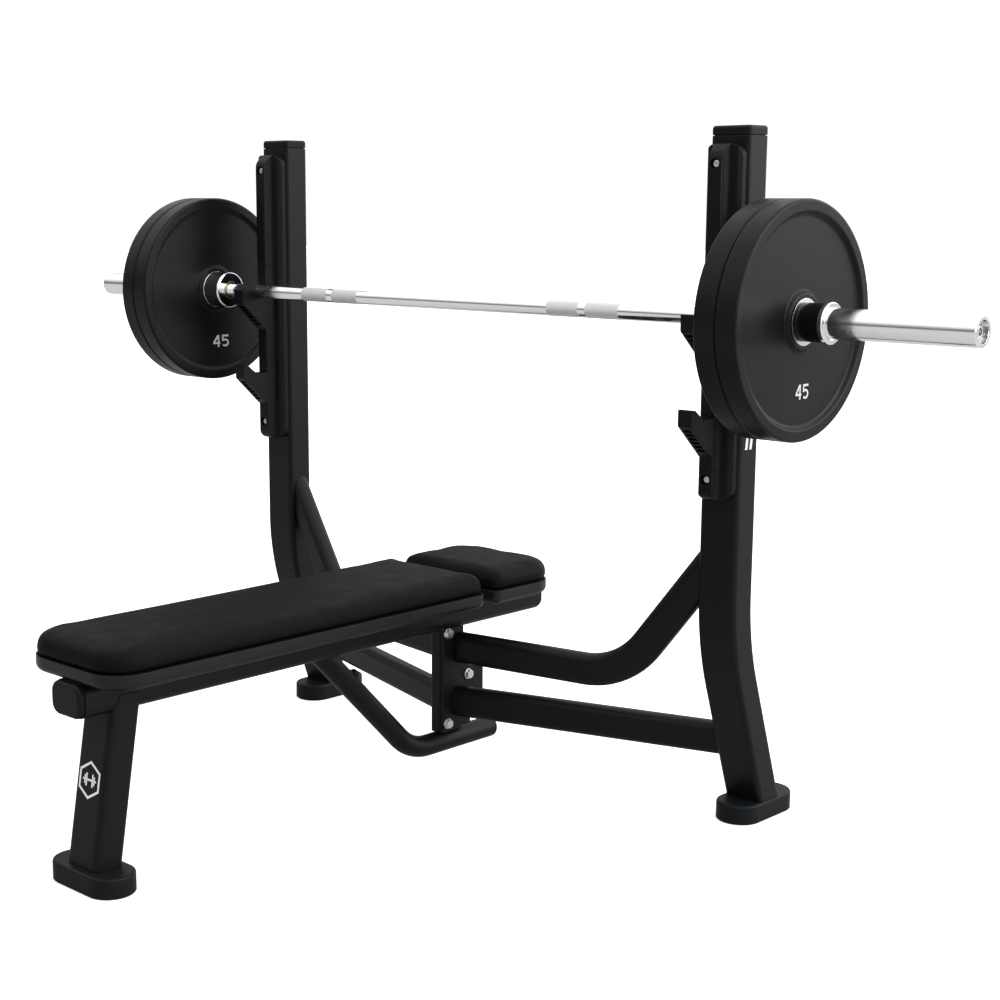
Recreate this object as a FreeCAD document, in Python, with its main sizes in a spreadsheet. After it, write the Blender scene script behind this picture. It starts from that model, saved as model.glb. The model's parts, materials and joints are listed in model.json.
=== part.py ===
import FreeCAD, Part
import Sketcher
import math
import os
import sys

# Olympic bench press: racking bench frame, two upholstered pads, and a loaded barbell resting on its hooks.
# Millimetres, +Z up, floor at Z = 0, X along the barbell, -Y towards the foot end of the bench.
# The origin is the centre of the footprint box.

V = FreeCAD.Vector
doc = FreeCAD.newDocument("olympic_bench_press")

# ---------------------------------------------------------------- driving dimensions
CELLS = [
    ("bar_y", 305.25), ("bar_z", 934.6), ("shaft_dia", 29.0), ("shaft_half", 1076.0), ("bar_half", 1100.0),
    ("flange_x", 662.0), ("flange_w", 47.0), ("flange_dia", 76.0), ("sleeve_dia", 50.0), ("sleeve_bore", 36.0),
    ("bush_wall_gap", 0.06), ("plate_dia", 393.0), ("plate_w", 40.5), ("plate_gap", 0.3), ("hub_dia", 77.0),
    ("hub_bore", 50.8), ("core_dia", 366.0), ("core_w", 23.4), ("collar_dia", 63.0), ("collar_len", 42.0),
    ("collar_ring_dia", 68.0), ("collar_ring_w", 8.5), ("collar_bore", 50.2),
    ("post_x", 587.0), ("post_y", 95.0), ("tube_w", 80.0), ("tube_d", 60.0), ("tube_wall", 3.0), ("tube_round", 10.0),
    ("post_top", 1235.0), ("post_bend_z", 348.5), ("post_lean", 19.34), ("post_bend_r", 500.0), ("cap_h", 17.0),
    ("cap_seam", 1.5), ("guard_front", 23.0), ("rib_w", 28.0), ("hook_floor", 919.8), ("hook_pitch", 161.0),
    ("hook_above", 71.2), ("hook_below", 89.8), ("guard_top", 1221.0), ("guard_bottom", 614.0), ("guard_seam", 0.6),
    ("cross_h", 62.0), ("cross_d", 38.0), ("cross_round", 17.0), ("low_cross_z", 145.0), ("high_cross_z", 254.7),
    ("high_bend_x", 383.7), ("high_rise", 53.1), ("high_bend_r", 165.0),
    ("spine_w", 32.0), ("spine_front", -40.0), ("spine_back", 22.0), ("spine_bottom", 84.5), ("joint_plate_w", 5.0),
    ("beam_w", 84.0), ("beam_h", 60.0), ("beam_round", 20.0), ("beam_bottom", 298.7), ("beam_front", -897.0),
    ("beam_rear", 225.0), ("beam_cap_w", 11.0),
    ("leg_w", 88.0), ("leg_d", 58.0), ("leg_top_y", -816.5), ("leg_foot_y", -861.5), ("foot_len", 177.0),
    ("foot_w", 86.0), ("foot_h", 36.0), ("front_foot_y", -864.0), ("rear_foot_y", 210.0),
    ("brace_dia", 42.4), ("brace_z", 63.0), ("brace_bend_y", -112.0), ("brace_slope", 45.2), ("brace_bend_r", 110.0),
    ("brace_end_y", 114.0),
    ("pad_w", 257.0), ("pad_front", -902.0), ("pad_rear", -34.0), ("pad_bottom", 385.5), ("pad_h", 41.5),
    ("pad_corner", 60.0), ("pad_edge", 22.0), ("head_front", -6.0), ("head_rear", 177.0), ("head_corner", 62.0),
    ("tray_bottom", 359.2), ("tray_wall", 3.0), ("tray_round", 12.0), ("board_h", 15.0),
    ("bolt_dia", 10.0), ("screw_dia", 8.0),
]
sheet = doc.addObject("Spreadsheet::Sheet", "Params")
for i, (alias, value) in enumerate(CELLS, 1):
    sheet.set("A%d" % i, alias)
    sheet.set("B%d" % i, str(value))
    sheet.setAlias("B%d" % i, alias)
doc.recompute()
D = {alias: float(sheet.get(alias)) for alias, _ in CELLS}
NODES = []


def keep(obj, label):
    obj.Label = label
    NODES.append(obj)
    return obj


# ---------------------------------------------------------------- helpers
def plane(body, role):
    return [f for f in body.Origin.OriginFeatures if f.Role == role][0]


def new_body(name):
    return doc.addObject("PartDesign::Body", name)


def new_sketch(body, role, name, shift=None):
    sk = body.newObject("Sketcher::SketchObject", name)
    sk.AttachmentSupport = [(plane(body, role), "")]
    sk.MapMode = "FlatFace"
    if shift is not None:
        sk.AttachmentOffset = FreeCAD.Placement(V(0, 0, shift), FreeCAD.Rotation())
    return sk


def datum(sk, geo, pos, axis, value, expr=None):
    """A distance from the sketch origin to a point, driven by the sheet when an expression is given."""
    n = sk.addConstraint(Sketcher.Constraint("Distance" + axis, -1, 1, geo, pos, value))
    if expr:
        sk.setExpression("Constraints[%d]" % n, expr)


def circle(sk, radius, expr, cx=0.0, cy=0.0):
    g = sk.addGeometry(Part.Circle(V(cx, cy, 0), V(0, 0, 1), radius), False)
    if cx == 0 and cy == 0:
        sk.addConstraint(Sketcher.Constraint("Coincident", g, 3, -1, 1))
    else:
        datum(sk, g, 3, "X", cx)
        datum(sk, g, 3, "Y", cy)
    n = sk.addConstraint(Sketcher.Constraint("Radius", g, radius))
    sk.setExpression("Constraints[%d]" % n, expr)
    return g


def rounded_rect(sk, w, h, r, we, he, re_):
    """A rounded rectangle centred on the sketch origin: width, height and corner radius follow the sheet."""
    a, b = w / 2.0, h / 2.0
    lines = [(-a + r, -b, a - r, -b), (a, -b + r, a, b - r), (a - r, b, -a + r, b), (-a, b - r, -a, -b + r)]
    first = sk.GeometryCount
    for x0, y0, x1, y1 in lines:
        sk.addGeometry(Part.LineSegment(V(x0, y0, 0), V(x1, y1, 0)), False)
    centres = [(a - r, -b + r, -90), (a - r, b - r, 0), (-a + r, b - r, 90), (-a + r, -b + r, 180)]
    for cx, cy, deg in centres:
        c = Part.Circle(V(cx, cy, 0), V(0, 0, 1), r)
        sk.addGeometry(Part.ArcOfCircle(c, math.radians(deg), math.radians(deg + 90)), False)
    L = [first, first + 1, first + 2, first + 3]
    A = [first + 4, first + 5, first + 6, first + 7]
    con = []
    for k in range(4):
        con.append(Sketcher.Constraint("Tangent", L[k], 2, A[k], 1))
        con.append(Sketcher.Constraint("Tangent", A[k], 2, L[(k + 1) % 4], 1))
    con += [Sketcher.Constraint("Horizontal", L[0]), Sketcher.Constraint("Horizontal", L[2]),
            Sketcher.Constraint("Vertical", L[1]), Sketcher.Constraint("Vertical", L[3])]
    con += [Sketcher.Constraint("Equal", A[0], A[k]) for k in (1, 2, 3)]
    con.append(Sketcher.Constraint("Symmetric", L[0], 1, L[2], 1, -1, 1))
    sk.addConstraint(con)
    n = sk.addConstraint(Sketcher.Constraint("Radius", A[0], r))
    sk.setExpression("Constraints[%d]" % n, re_)
    n = sk.addConstraint(Sketcher.Constraint("DistanceX", L[3], 1, L[1], 1, w))
    sk.setExpression("Constraints[%d]" % n, we)
    n = sk.addConstraint(Sketcher.Constraint("DistanceY", L[0], 1, L[2], 1, h))
    sk.setExpression("Constraints[%d]" % n, he)


def outline(points):
    """Lines and tangent arcs for a closed outline: each point is (x, y) or (x, y, corner radius)."""
    n = len(points)
    segs, ends = [], []
    for i in range(n):
        p = V(points[i][0], points[i][1], 0)
        r = points[i][2] if len(points[i]) > 2 else 0
        if r <= 0:
            ends.append((p, p, None))
            continue
        a = V(points[i - 1][0], points[i - 1][1], 0) - p
        b = V(points[(i + 1) % n][0], points[(i + 1) % n][1], 0) - p
        a.normalize()
        b.normalize()
        half = math.acos(max(-1, min(1, a.dot(b)))) / 2.0
        cut = r / math.tan(half)
        bis = a + b
        bis.normalize()
        centre = p + bis * (r / math.sin(half))
        ends.append((p + a * cut, p + b * cut, centre - bis * r))
    for i in range(n):
        start, stop, mid = ends[i]
        if mid is not None:
            segs.append(Part.Arc(start, mid, stop))
        nxt = ends[(i + 1) % n][0]
        if (nxt - stop).Length > 1e-6:
            segs.append(Part.LineSegment(stop, nxt))
    return segs


def join(sk, ids, closed):
    """Fixes a chain of lines and tangent arcs in place, after checking that each piece meets the next."""
    geo = [sk.Geometry[i] for i in ids]
    for k in range(len(ids) if closed else len(ids) - 1):
        a, b = geo[k], geo[(k + 1) % len(ids)]
        gap = min((p - q).Length for p in (a.StartPoint, a.EndPoint) for q in (b.StartPoint, b.EndPoint))
        if gap > 1e-6:
            raise ValueError("open outline in %s at %d" % (sk.Name, k))
    sk.addConstraint([Sketcher.Constraint("Block", i) for i in ids])


def draw(sk, points):
    """Draws a closed outline with its corners joined."""
    ids = [sk.addGeometry(g, False) for g in outline(points)]
    join(sk, ids, True)
    return ids


def pad(body, sk, name, length, expr, both=False, back=False):
    f = body.newObject("PartDesign::Pad", name)
    f.Profile = sk
    f.Length = length
    f.setExpression("Length", expr)
    if both:
        f.SideType = "Symmetric"
    f.Reversed = back
    sk.Visibility = False
    return f


def pocket(body, sk, name, length, expr, both=False, back=False):
    f = body.newObject("PartDesign::Pocket", name)
    f.Profile = sk
    f.Length = length
    f.setExpression("Length", expr)
    if both:
        f.SideType = "Symmetric"
    f.Reversed = back
    return f


def place(obj, x="0", y="0", z="0", rot=None):
    """Placement driven by the sheet, with an optional fixed rotation."""
    if rot is not None:
        obj.Placement = FreeCAD.Placement(V(0, 0, 0), rot)
    obj.setExpression("Placement.Base.x", x)
    obj.setExpression("Placement.Base.y", y)
    obj.setExpression("Placement.Base.z", z)


def prism(name, role, w, h, r, we, he, re_, length, le, wall=None, both=False):
    """A straight bar or tube of rounded rectangular section, grown from the plane named by role."""
    b = new_body(name)
    sk = new_sketch(b, role, name + "_section")
    rounded_rect(sk, w, h, r, we, he, re_)
    if wall:
        rounded_rect(sk, w - 2 * wall, h - 2 * wall, r - wall, "%s-2*Params.tube_wall" % we,
                     "%s-2*Params.tube_wall" % he, "%s-Params.tube_wall" % re_)
    pad(b, sk, name + "_run", length, le, both=both)
    return b


def revolve(name, points, axis="X", role="XZ_Plane"):
    """A turned piece: its half section turned about X, sketched in the XZ plane."""
    b = new_body(name)
    sk = new_sketch(b, role, name + "_half_section")
    n, shaped = len(points), []
    for i, p in enumerate(points):
        if len(p) < 3 or p[2] >= 3:
            shaped.append(p)
            continue
        # small edge breaks are plain bevels
        for q in (points[i - 1], points[(i + 1) % n]):
            run = math.hypot(q[0] - p[0], q[1] - p[1])
            shaped.append((p[0] + (q[0] - p[0]) / run * p[2] * 0.7, p[1] + (q[1] - p[1]) / run * p[2] * 0.7))
    draw(sk, shaped)
    f = b.newObject("PartDesign::Revolution", name + "_turned")
    f.Profile = sk
    f.ReferenceAxis = (sk, ["H_Axis"])
    f.Angle = 360.0
    return b


def edge_soften(body, name, pick, size, expr, kind="Fillet"):
    """Rounds or chamfers the edges of the body's tip that pick() chooses."""
    doc.recompute()
    tip = body.Tip
    names = ["Edge%d" % (i + 1) for i, e in enumerate(tip.Shape.Edges) if pick(e)]
    f = body.newObject("PartDesign::" + kind, name)
    f.Base = (tip, names)
    if kind == "Fillet":
        f.Radius = size
        f.setExpression("Radius", expr)
    else:
        f.Size = size
        f.setExpression("Size", expr)
    doc.recompute()
    return f


def at_z(value):
    return lambda e: all(abs(v.Z - value) < 1e-4 for v in e.Vertexes) and abs(e.BoundBox.ZLength) < 1e-4


def box(name, lx, ly, lz, x, y, z):
    b = doc.addObject("Part::Box", name)
    b.Length, b.Width, b.Height = lx, ly, lz
    b.Placement = FreeCAD.Placement(V(x, y, z), FreeCAD.Rotation())
    return b


def cylinder(name, r, length, centre, axis, re_=None):
    c = doc.addObject("Part::Cylinder", name)
    c.Radius, c.Height = r, length
    if re_:
        c.setExpression("Radius", re_)
    c.Placement = FreeCAD.Placement(centre, FreeCAD.Rotation(V(0, 0, 1), axis))
    return c


def cut(name, base, tool):
    c = doc.addObject("Part::Cut", name)
    c.Base, c.Tool = base, tool
    return c


def common(name, base, tool):
    c = doc.addObject("Part::Common", name)
    c.Base, c.Tool = base, tool
    return c


def group(name, parts):
    c = doc.addObject("Part::Compound", name)
    c.Links = parts
    return c


def fuse(name, parts):
    c = doc.addObject("Part::MultiFuse", name)
    c.Shapes = parts
    return c


def pipe(name, section_role, spine_role, section, spine):
    """A bent tube: its hollow section swept along lines and arcs in one plane."""
    b = new_body(name)
    sk = new_sketch(b, section_role, name + "_section")
    section(sk)
    sp = new_sketch(b, spine_role, name + "_centreline")
    join(sp, [sp.addGeometry(g, False) for g in spine], False)
    doc.recompute()
    f = b.newObject("PartDesign::AdditivePipe", name + "_swept")
    f.Profile = (sk, [""])
    f.Spine = (sp, ["Edge%d" % (i + 1) for i in range(len(spine))])
    f.Mode = "Standard"
    doc.recompute()
    return b


def bend(p0, corner, p1, radius):
    """Line, tangent arc, line through a corner."""
    a, b = (p0 - corner), (p1 - corner)
    a.normalize()
    b.normalize()
    half = math.acos(a.dot(b)) / 2.0
    t = radius / math.tan(half)
    bis = a + b
    bis.normalize()
    mid = corner + bis * (radius / math.sin(half) - radius)
    return [Part.LineSegment(p0, corner + a * t), Part.Arc(corner + a * t, mid, corner + b * t),
            Part.LineSegment(corner + b * t, p1)]


def by(value):
    """Y in the part's frame of a place given from the barbell's axis."""
    return value + D["bar_y"]


SIDES = (("left", -1), ("right", 1))

# ---------------------------------------------------------------- uprights, their caps and shoes
tw, td, wl, tr = D["tube_w"], D["tube_d"], D["tube_wall"], D["tube_round"]


def upright_section(sk):
    rounded_rect(sk, tw, td, tr, "Params.tube_w", "Params.tube_d", "Params.tube_round")
    rounded_rect(sk, tw - 2 * wl, td - 2 * wl, tr - wl, "Params.tube_w-2*Params.tube_wall",
                 "Params.tube_d-2*Params.tube_wall", "Params.tube_round-Params.tube_wall")


drop = D["post_top"] - D["post_bend_z"]
lean = math.radians(D["post_lean"])
far = D["post_bend_z"] / math.cos(lean) + 30
upright_spine = bend(V(0, 0, 0), V(0, -drop, 0), V(math.sin(lean) * far, -drop - math.cos(lean) * far, 0),
                     D["post_bend_r"])
screw_z = (1188.0, 651.0)
for side, s in SIDES:
    px = s * D["post_x"]
    tube = pipe("upright_tube_" + side, "XY_Plane", "YZ_Plane", upright_section, upright_spine)
    place(tube, "%d*Params.post_x" % s, "Params.bar_y+Params.post_y", "Params.post_top")
    cutters = [box("upright_trim_" + side, 300, 600, 300, px - 150, by(0), D["foot_h"] - 300)]
    for k, z in enumerate(screw_z):
        cutters.append(cylinder("upright_hole_%s_%d" % (side, k), D["screw_dia"] / 2 + 0.15, 20,
                                V(px, by(58), z), V(0, 1, 0), "Params.screw_dia/2+0.15"))
    keep(cut("upright_" + side + "_cut", tube, fuse("upright_cutters_" + side, cutters)), side + "_upright")

    # cap: a low domed lid on a plug that fills the tube mouth
    cap = new_body("upright_cap_" + side)
    sk = new_sketch(cap, "XY_Plane", "cap_lid_" + side, D["cap_seam"])
    rounded_rect(sk, tw, td, tr, "Params.tube_w", "Params.tube_d", "Params.tube_round")
    pad(cap, sk, "cap_lid_pad_" + side, D["cap_h"] - D["cap_seam"], "Params.cap_h-Params.cap_seam")
    edge_soften(cap, "cap_round_" + side, at_z(D["cap_h"]), 5.44, "Params.cap_h*0.32")
    sk = new_sketch(cap, "XY_Plane", "cap_plug_" + side, D["cap_seam"])
    rounded_rect(sk, tw - 2 * wl - 0.2, td - 2 * wl - 0.2, tr - wl, "Params.tube_w-2*Params.tube_wall-0.2",
                 "Params.tube_d-2*Params.tube_wall-0.2", "Params.tube_round-Params.tube_wall")
    pad(cap, sk, "cap_plug_pad_" + side, 24.0, "Params.cap_seam+22.5", back=True)
    place(cap, "%d*Params.post_x" % s, "Params.bar_y+Params.post_y", "Params.post_top")
    keep(cap, side + "_upright_cap")


def shoe(name, x, y, turn, label):
    """A moulded rubber shoe: a long oval pad with a bevelled rim and a shallow seat for the tube end."""
    b = new_body(name)
    sk = new_sketch(b, "XY_Plane", name + "_oval")
    rounded_rect(sk, D["foot_len"], D["foot_w"], D["foot_w"] / 2 - 0.05, "Params.foot_len", "Params.foot_w",
                 "Params.foot_w/2-0.05")
    pad(b, sk, name + "_pad", D["foot_h"], "Params.foot_h")
    edge_soften(b, name + "_rim", at_z(D["foot_h"]), 5.0, "Params.foot_h/7.2")
    edge_soften(b, name + "_sole", at_z(0.0), 2.0, "Params.foot_h/18", "Chamfer")
    place(b, x, y, "0", FreeCAD.Rotation(V(0, 0, 1), turn))
    keep(b, label)


shoe("shoe_left", "-Params.post_x", "Params.bar_y+Params.rear_foot_y", 90, "left_rear_foot")
shoe("shoe_right", "Params.post_x", "Params.bar_y+Params.rear_foot_y", 90, "right_rear_foot")
shoe("shoe_front", "0", "Params.bar_y+Params.front_foot_y", 0, "front_foot")

# ---------------------------------------------------------------- hook guards on the uprights
gf, rw = D["guard_front"], D["rib_w"] / 2.0
hat = [(-36.0, 65.0), (-36.0, 55.0, 6), (-30.0, 46.0, 8), (-rw - 3, 43.0, 6), (-rw, 33.0, 5), (-rw, gf, 3.5),
       (rw, gf, 3.5), (rw, 33.0, 5), (rw + 3, 43.0, 6), (30.0, 46.0, 8), (36.0, 55.0, 6), (36.0, 65.0)]


def guard_body(name, z0, z1, e0, e1):
    """A length of the hat-section cover that is screwed to the front of an upright."""
    b = new_body(name)
    sk = new_sketch(b, "XY_Plane", name + "_hat")
    draw(sk, hat)
    pad(b, sk, name + "_run", z1 - z0, "%s-(%s)" % (e1, e0))
    return b


def front_cut(b, name, top, z):
    """Rounds the two outer corners of the cover's end, seen from the front (X, Z)."""
    for k, s in enumerate((-1, 1)):
        sk = new_sketch(b, "XZ_Plane", "%s_%d" % (name, k))
        c = math.cos(math.radians(22.5))
        arc = [(s * (16 + 20 * math.sin(math.radians(a))), z + top * (20 * math.cos(math.radians(a)) - 20)) for a in (0, 22.5, 45, 67.5, 90)]
        pts = [(s * 16, z + top * 6), (s * 16, z)] + arc[1:] + [(s * 44, z - top * 20), (s * 44, z + top * 6)]
        if s * top < 0:
            pts = pts[::-1]
        draw(sk, pts)
        pocket(b, sk, "%s_trim_%d" % (name, k), 120.0, "Params.tube_d*2")


def side_cut(b, name, pts):
    """Trims the cover with an outline seen from the side (Y, Z)."""
    sk = new_sketch(b, "YZ_Plane", name)
    draw(sk, pts)
    pocket(b, sk, name + "_trim", 200.0, "Params.tube_w*2.5", both=True)


zf, pitch = D["hook_floor"], D["hook_pitch"]
g_top0 = zf + D["hook_above"]
g_low0 = zf - pitch - D["hook_below"]
seam = D["guard_seam"]
for side, s in SIDES:
    # top cover, rounded back at its upper end
    h = D["guard_top"] - g_top0 - seam
    b = guard_body("guard_top_" + side, 0, h, "Params.hook_floor+Params.hook_above+Params.guard_seam", "Params.guard_top")
    side_cut(b, "guard_top_nose_" + side, [(gf - 30, h - 34), (gf - 0.01, h - 34), (gf + 4, h - 15, 26), (gf + 22, h + 0.01),
                                           (gf + 22, h + 30), (gf - 30, h + 30)])
    front_cut(b, "guard_top_corner_" + side, 1, h)
    zs = screw_z[0] - (g_top0 + seam)
    sk = new_sketch(b, "XZ_Plane", "guard_top_seat_" + side)
    circle(sk, 9.0, "Params.screw_dia/2+5", 0.0, zs)
    pocket(b, sk, "guard_top_counterbore_" + side, gf + 9, "Params.guard_front+9")
    sk = new_sketch(b, "XZ_Plane", "guard_top_hole_" + side)
    circle(sk, D["screw_dia"] / 2 + 0.15, "Params.screw_dia/2+0.15", 0.0, zs)
    pocket(b, sk, "guard_top_drill_" + side, 80, "Params.guard_front+57")
    place(b, "%d*Params.post_x" % s, "Params.bar_y", "Params.hook_floor+Params.hook_above+Params.guard_seam")
    keep(b, side + "_guard_top")

    # two hook modules, one above the other
    for level, n in (("upper", 0), ("lower", 1)):
        L = D["hook_above"] + D["hook_below"]
        b = guard_body("hook_%s_%s" % (level, side), 0, L, "0", "Params.hook_above+Params.hook_below-Params.guard_seam*0")
        f = D["hook_below"]
        sk = new_sketch(b, "YZ_Plane", "hook_profile_%s_%s" % (level, side))
        draw(sk, [(gf + 8, f), (-5.0, f, 5), (-29.5, f + 18.6, 3), (-41.0, f + 19.6, 2.5), (-41.0, f - 9.0, 4),
                  (gf - 1, f - 67.0, 10), (gf + 8, f - 72.0)])
        pad(b, sk, "hook_arm_%s_%s" % (level, side), D["rib_w"], "Params.rib_w", both=True)
        # ribbed channel along the sloping underside of the arm
        dy, dz = (gf - 1) - (-41.0), (f - 67.0) - (f - 9.0)
        run = math.hypot(dy, dz)
        uy, uz = dy / run, dz / run
        ny, nz = -uz, uy
        if nz < 0:
            ny, nz = -ny, -nz
        cells, t = [], 9.0
        while t + 8.5 < run - 6:
            cells.append((t, t + 8.5))
            t += 11.0
        for k, (t0, t1) in enumerate(cells):
            q = []
            for tt, dd in ((t0, -6), (t1, -6), (t1, 7), (t0, 7)):
                q.append((-41.0 + uy * tt + ny * dd, f - 9.0 + uz * tt + nz * dd))
            sk = new_sketch(b, "YZ_Plane", "hook_cell_%s_%s_%d" % (level, side, k))
            draw(sk, q)
            pocket(b, sk, "hook_cell_cut_%s_%s_%d" % (level, side, k), D["rib_w"] - 11, "Params.rib_w-11", both=True)
        place(b, "%d*Params.post_x" % s, "Params.bar_y",
              "Params.hook_floor-Params.hook_below-%d*Params.hook_pitch" % n)
        keep(b, "%s_%s_hook" % (side, level))

    # bottom cover, rounded under
    h = g_low0 - seam - D["guard_bottom"]
    b = guard_body("guard_end_" + side, 0, h, "Params.guard_bottom",
                   "Params.hook_floor-Params.hook_pitch-Params.hook_below-Params.guard_seam")
    side_cut(b, "guard_end_chin_" + side, [(gf - 30, 24), (gf - 0.01, 24), (gf + 4, 5, 20), (gf + 20, -0.01),
                                           (gf + 20, -30), (gf - 30, -30)])
    front_cut(b, "guard_end_corner_" + side, -1, 0.0)
    zs = screw_z[1] - D["guard_bottom"]
    sk = new_sketch(b, "XZ_Plane", "guard_end_seat_" + side)
    circle(sk, 9.0, "Params.screw_dia/2+5", 0.0, zs)
    pocket(b, sk, "guard_end_counterbore_" + side, gf + 9, "Params.guard_front+9")
    sk = new_sketch(b, "XZ_Plane", "guard_end_hole_" + side)
    circle(sk, D["screw_dia"] / 2 + 0.15, "Params.screw_dia/2+0.15", 0.0, zs)
    pocket(b, sk, "guard_end_drill_" + side, 80, "Params.guard_front+57")
    place(b, "%d*Params.post_x" % s, "Params.bar_y", "Params.guard_bottom")
    keep(b, side + "_guard_end_cap")

# button-head socket screws that hold the guards
screws = []
for side, s in SIDES:
    for k, z in enumerate(screw_z):
        t = "%s_%d" % (side, k)
        head = cylinder("screw_head_" + t, 7.0, 4.8, V(s * D["post_x"], by(gf + 4.2), z), V(0, 1, 0))
        dome = doc.addObject("Part::Fillet", "screw_dome_" + t)
        doc.recompute()
        dome.Base = head
        front = [i + 1 for i, e in enumerate(head.Shape.Edges) if e.BoundBox.YLength < 1e-4 and abs(e.BoundBox.YMin - by(gf + 4.2)) < 1e-3]
        dome.Edges = [(i, 2.6, 2.6) for i in front]
        shank = cylinder("screw_shank_" + t, D["screw_dia"] / 2, 42.0, V(s * D["post_x"], by(gf + 8.9), z), V(0, 1, 0),
                         "Params.screw_dia/2")
        hexa = doc.addObject("Part::Prism", "screw_socket_" + t)
        hexa.Polygon, hexa.Circumradius, hexa.Height = 6, 3.3, 3.2
        hexa.Placement = FreeCAD.Placement(V(s * D["post_x"], by(gf + 4.0), z), FreeCAD.Rotation(V(0, 0, 1), V(0, 1, 0)))
        screws.append(cut("guard_screw_" + t, fuse("screw_blank_" + t, [dome, shank]), hexa))
keep(group("guard_screw_set", screws), "guard_screws")

# ---------------------------------------------------------------- bench beam, front leg, brace
beam = prism("beam_tube", "XZ_Plane", D["beam_w"], D["beam_h"], D["beam_round"], "Params.beam_w", "Params.beam_h",
             "Params.beam_round", D["beam_rear"] - D["beam_front"], "Params.beam_rear-Params.beam_front", wall=wl)
place(beam, "0", "Params.bar_y+Params.beam_rear", "Params.beam_bottom+Params.beam_h/2")
keep(beam, "bench_main_beam")


def beam_cap(name, label, y_expr, outward):
    b = new_body(name)
    sk = new_sketch(b, "XZ_Plane", name + "_face")
    rounded_rect(sk, D["beam_w"] - 3, D["beam_h"] - 2, D["beam_round"], "Params.beam_w-3", "Params.beam_h-2", "Params.beam_round")
    pad(b, sk, name + "_lid", D["beam_cap_w"], "Params.beam_cap_w")
    edge_soften(b, name + "_round", lambda e: abs(e.BoundBox.YMin + D["beam_cap_w"]) < 1e-4 and e.BoundBox.YLength < 1e-4,
                7.0, "Params.beam_cap_w*0.64")
    sk = new_sketch(b, "XZ_Plane", name + "_plug")
    rounded_rect(sk, D["beam_w"] - 2 * wl - 0.2, D["beam_h"] - 2 * wl - 0.2, D["beam_round"] - wl,
                 "Params.beam_w-2*Params.tube_wall-0.2", "Params.beam_h-2*Params.tube_wall-0.2",
                 "Params.beam_round-Params.tube_wall")
    pad(b, sk, name + "_plug_pad", 25.0, "Params.beam_cap_w+11", back=True)
    place(b, "0", y_expr, "Params.beam_bottom+Params.beam_h/2",
          FreeCAD.Rotation(V(0, 0, 1), 0 if outward < 0 else 180))
    keep(b, label)


beam_cap("beam_cap_front", "bench_front_cap", "Params.bar_y+Params.beam_front-1", -1)
beam_cap("beam_cap_rear", "bench_rear_cap", "Params.bar_y+Params.beam_rear+0.2", 1)

lean_leg = math.atan2(D["leg_top_y"] - D["leg_foot_y"], 298.0 - D["foot_h"])
leg = prism("leg_tube", "XY_Plane", D["leg_w"], D["leg_d"], tr + 5, "Params.leg_w", "Params.leg_d", "Params.tube_round+5",
            360.0, "Params.beam_bottom+63", wall=wl)
place(leg, "0", "Params.bar_y+Params.leg_foot_y-tan(%.6f)*40" % math.degrees(lean_leg), "Params.foot_h-40",
      FreeCAD.Rotation(V(1, 0, 0), -math.degrees(lean_leg)))
envelope = prism("beam_envelope", "XZ_Plane", D["beam_w"], D["beam_h"], D["beam_round"], "Params.beam_w+0.02",
                 "Params.beam_h", "Params.beam_round", D["beam_rear"] - D["beam_front"],
                 "Params.beam_rear-Params.beam_front")
place(envelope, "0", "Params.bar_y+Params.beam_rear", "Params.beam_bottom+Params.beam_h/2")
leg_trim = fuse("leg_cutters", [box("leg_trim", 300, 400, 300, -150, by(-1100), D["foot_h"] - 300),
                                box("leg_top_trim", 300, 400, 300, -150, by(-1000), D["beam_bottom"] + D["beam_h"] / 2),
                                envelope])
keep(cut("leg_cut", leg, leg_trim), "front_leg")

br = D["brace_dia"] / 2.0
sl = math.radians(D["brace_slope"])
up_len = (D["beam_bottom"] - D["brace_z"]) / math.sin(sl) + 40


def brace_section(sk):
    circle(sk, br, "Params.brace_dia/2")
    circle(sk, br - wl, "Params.brace_dia/2-Params.tube_wall")


# spine drawn in the body's YZ plane, starting at the rear end of the level run
lvl = D["brace_end_y"] - D["brace_bend_y"]
brace_spine = bend(V(0, 0, 0), V(-lvl, 0, 0), V(-lvl - math.cos(sl) * up_len, math.sin(sl) * up_len, 0), D["brace_bend_r"])
brace_tube = pipe("brace_tube", "XZ_Plane", "YZ_Plane", brace_section, brace_spine)
place(brace_tube, "0", "Params.bar_y+Params.brace_end_y", "Params.brace_z")
keep(cut("brace_cut", brace_tube, box("brace_trim", 200, 400, 200, -100, by(-600), D["beam_bottom"])), "rear_brace_tube")

b = revolve("brace_cap", [(-16.0, 0), (0.2, 0), (9.5, 0), (9.5, br, 7.0), (0.2, br), (0.2, br - wl - 0.1), (-16.0, br - wl - 0.1)])
place(b, "0", "Params.bar_y+Params.brace_end_y", "Params.brace_z", FreeCAD.Rotation(V(0, 0, 1), 90))
keep(b, "rear_brace_cap")

stud_at = V(0, by(-279.0), D["brace_z"] + (279.0 + D["brace_bend_y"]) * math.tan(sl)) + V(0, math.sin(sl), math.cos(sl)) * (br + 0.6)
b = revolve("brace_stud", [(0, 0), (9.0, 0), (9.0, 7.5, 3.0), (0, 9.0)])
b.Placement = FreeCAD.Placement(stud_at, FreeCAD.Rotation(V(1, 0, 0), V(0, math.sin(sl), math.cos(sl))))
keep(b, "brace_bumper")

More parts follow.
